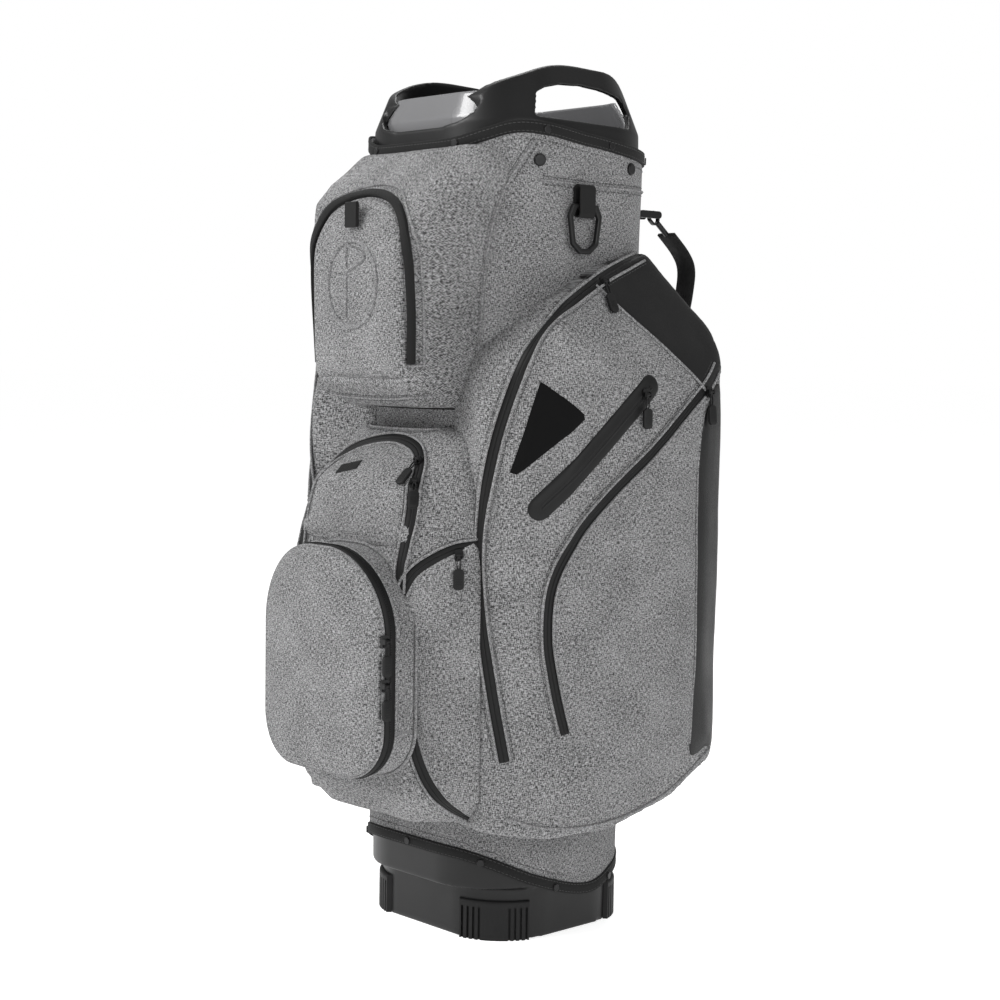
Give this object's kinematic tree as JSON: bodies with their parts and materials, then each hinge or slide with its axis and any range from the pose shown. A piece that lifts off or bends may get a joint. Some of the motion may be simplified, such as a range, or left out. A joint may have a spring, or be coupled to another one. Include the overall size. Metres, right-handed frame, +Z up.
{
  "type": "golf cart bag",
  "caption": "Golf cart bag: melange fabric tube, 14-way top with twin handles, cooler, ball, valuables and side pockets.",
  "frame": {"origin": "middle of the base's underside, on the ground", "axes": "+Z up, -Y the front with the cooler and ball pockets, +Y the spine that leans on the cart, +X the bag's right-hand side as drawn"},
  "size_m": [0.4284, 0.4616, 0.916],
  "materials": {
    "melange_fabric": "matte",
    "webbing": "satin",
    "soft_leather": "satin",
    "hook_fabric": "matte",
    "coated_tape": "satin",
    "black_moulding": "satin",
    "grey_moulding": "gloss",
    "lining": "matte",
    "foil_lining": "satin",
    "black_metal": "satin",
    "bright_steel": "satin",
    "stay_rod": "matte",
    "soft_rubber": "matte"
  },
  "bodies": {
    "bag": {"apparel_pocket_left": "melange_fabric", "apparel_pocket_right": "melange_fabric", "ball_pocket_shell": "melange_fabric", "ball_zip_tape": "coated_tape", "base_moulding": "black_moulding", "base_rivets": "black_metal", "base_trim_band": "webbing", "collar_liner": "grey_moulding", "collar_rivets": "black_metal", "collar_trim_band": "webbing", "cooler_foam_liner": "foil_lining", "cooler_pocket_shell": "melange_fabric", "corner_pocket_left": "melange_fabric", "corner_pocket_right": "melange_fabric", "corner_stays": "stay_rod", "divider_grid": "black_moulding", "divider_row_sheets": "lining", "divider_slot_sheets": "lining", "glove_patch": "hook_fabric", "rain_hood_snaps": "black_metal", "rubber_foot_back_left": "soft_rubber", "rubber_foot_back_right": "soft_rubber", "rubber_foot_front_left": "soft_rubber", "rubber_foot_front_right": "soft_rubber", "side_zip_tapes": "coated_tape", "sleeve_zip_frame_left": "coated_tape", "sleeve_zip_frame_right": "coated_tape", "strap_anchors": "black_metal", "tee_badge_frame": "soft_rubber", "top_collar": "black_moulding", "towel_ring_loop": "webbing", "tube_front_panel": "melange_fabric", "tube_left_panel": "melange_fabric", "tube_right_panel": "melange_fabric", "tube_spine_panel": "melange_fabric", "valuables_pocket_shell": "melange_fabric", "zip_sliders": "black_metal"},
    "valuables_flap": {"valuables_flap": "melange_fabric", "flap_pull_tab": "webbing", "flap_magnets": "bright_steel"},
    "ball_pocket_door": {"ball_pocket_door": "melange_fabric"},
    "cooler_lid": {"cooler_lid": "melange_fabric"},
    "towel_ring": {"towel_ring": "black_moulding"},
    "shoulder_strap": {"shoulder_strap": "webbing", "shoulder_pad": "soft_leather", "strap_hooks": "black_metal"},
    "sleeve_slider_right": {"sleeve_slider_right": "black_metal"},
    "sleeve_slider_left": {"sleeve_slider_left": "black_metal"},
    "zip_pull_apparel_right": {"zip_pull_apparel_right": "soft_rubber"},
    "zip_pull_side_right": {"zip_pull_side_right": "soft_rubber"},
    "zip_pull_corner_right": {"zip_pull_corner_right": "soft_rubber"},
    "zip_pull_cooler_upper": {"zip_pull_cooler_upper": "soft_rubber"},
    "zip_pull_cooler_lower": {"zip_pull_cooler_lower": "soft_rubber"},
    "zip_pull_ball_upper": {"zip_pull_ball_upper": "soft_rubber"},
    "zip_pull_ball_lower": {"zip_pull_ball_lower": "soft_rubber"},
    "zip_pull_apparel_left": {"zip_pull_apparel_left": "soft_rubber"},
    "zip_pull_side_left": {"zip_pull_side_left": "soft_rubber"},
    "zip_pull_corner_left": {"zip_pull_corner_left": "soft_rubber"},
    "zip_pull_sleeve_right": {"zip_pull_sleeve_right": "soft_rubber"},
    "zip_pull_sleeve_left": {"zip_pull_sleeve_left": "soft_rubber"}
  },
  "joints": [
    {"name": "valuables_flap_hinge", "type": "hinge", "parent": "bag", "child": "valuables_flap", "pos_m": [0, -0.1973, 0.594], "axis": [1, 0, 0], "range_deg": [0, 95]},
    {"name": "ball_door_hinge", "type": "hinge", "parent": "bag", "child": "ball_pocket_door", "pos_m": [0, -0.244, 0.19], "axis": [1, 0, 0], "range_deg": [0, 80]},
    {"name": "cooler_lid_hinge", "type": "hinge", "parent": "bag", "child": "cooler_lid", "pos_m": [0, -0.2055, 0.42], "axis": [1, 0, 0], "range_deg": [0, 60]},
    {"name": "towel_ring_hinge", "type": "hinge", "parent": "bag", "child": "towel_ring", "pos_m": [0.1375, -0.009, 0.7675], "axis": [0, -1, 0], "range_deg": [0, 80]},
    {"name": "shoulder_strap_hinge", "type": "hinge", "parent": "bag", "child": "shoulder_strap", "pos_m": [0.084, 0.15, 0.77], "axis": [0, 0.0091, 1], "range_deg": [-22, 22]},
    {"name": "sleeve_slider_right_slide", "type": "slide", "parent": "bag", "child": "sleeve_slider_right", "axis": [-0.1168, -0.7162, -0.688], "range_m": [0, 0.0967]},
    {"name": "sleeve_slider_left_slide", "type": "slide", "parent": "bag", "child": "sleeve_slider_left", "axis": [0.1168, -0.7162, -0.688], "range_m": [0, 0.0967]},
    {"name": "zip_pull_apparel_right_hinge", "type": "hinge", "parent": "bag", "child": "zip_pull_apparel_right", "pos_m": [0.16261, -0.002, 0.69105], "axis": [0, -1, 0], "range_deg": [0, 150]},
    {"name": "zip_pull_side_right_hinge", "type": "hinge", "parent": "bag", "child": "zip_pull_side_right", "pos_m": [0.20954, 0.112, 0.57841], "axis": [0, -1, 0], "range_deg": [0, 150]},
    {"name": "zip_pull_corner_right_hinge", "type": "hinge", "parent": "bag", "child": "zip_pull_corner_right", "pos_m": [0.12575, -0.1666, 0.41509], "axis": [-0.6754, -0.7375, 0], "range_deg": [0, 150]},
    {"name": "zip_pull_cooler_upper_hinge", "type": "hinge", "parent": "bag", "child": "zip_pull_cooler_upper", "pos_m": [0.064, -0.16964, 0.50861], "axis": [-1, 0, 0], "range_deg": [0, 150]},
    {"name": "zip_pull_cooler_lower_hinge", "type": "hinge", "parent": "bag", "child": "zip_pull_cooler_lower", "pos_m": [0.07977, -0.18629, 0.4875], "axis": [-0.694, -0.72, 0], "range_deg": [0, 110]},
    {"name": "zip_pull_ball_upper_hinge", "type": "hinge", "parent": "bag", "child": "zip_pull_ball_upper", "pos_m": [0.1018, -0.2382, 0.332], "axis": [0, -1, 0], "range_deg": [0, 150]},
    {"name": "zip_pull_ball_lower_hinge", "type": "hinge", "parent": "bag", "child": "zip_pull_ball_lower", "pos_m": [0.1018, -0.2382, 0.288], "axis": [0, -1, 0], "range_deg": [0, 150]},
    {"name": "zip_pull_apparel_left_hinge", "type": "hinge", "parent": "bag", "child": "zip_pull_apparel_left", "pos_m": [-0.16261, -0.002, 0.69105], "axis": [0, 1, 0], "range_deg": [0, 150]},
    {"name": "zip_pull_side_left_hinge", "type": "hinge", "parent": "bag", "child": "zip_pull_side_left", "pos_m": [-0.20954, 0.112, 0.57841], "axis": [0, 1, 0], "range_deg": [0, 150]},
    {"name": "zip_pull_corner_left_hinge", "type": "hinge", "parent": "bag", "child": "zip_pull_corner_left", "pos_m": [-0.12575, -0.1666, 0.41509], "axis": [-0.6754, 0.7375, 0], "range_deg": [0, 150]},
    {"name": "zip_pull_sleeve_right_hinge", "type": "hinge", "parent": "sleeve_slider_right", "child": "zip_pull_sleeve_right", "pos_m": [0.20907, 0.01446, 0.57569], "axis": [-0.1609, -0.987, 0], "range_deg": [0, 150]},
    {"name": "zip_pull_sleeve_left_hinge", "type": "hinge", "parent": "sleeve_slider_left", "child": "zip_pull_sleeve_left", "pos_m": [-0.20907, 0.01446, 0.57569], "axis": [-0.1609, 0.987, 0], "range_deg": [0, 150]}
  ]
}
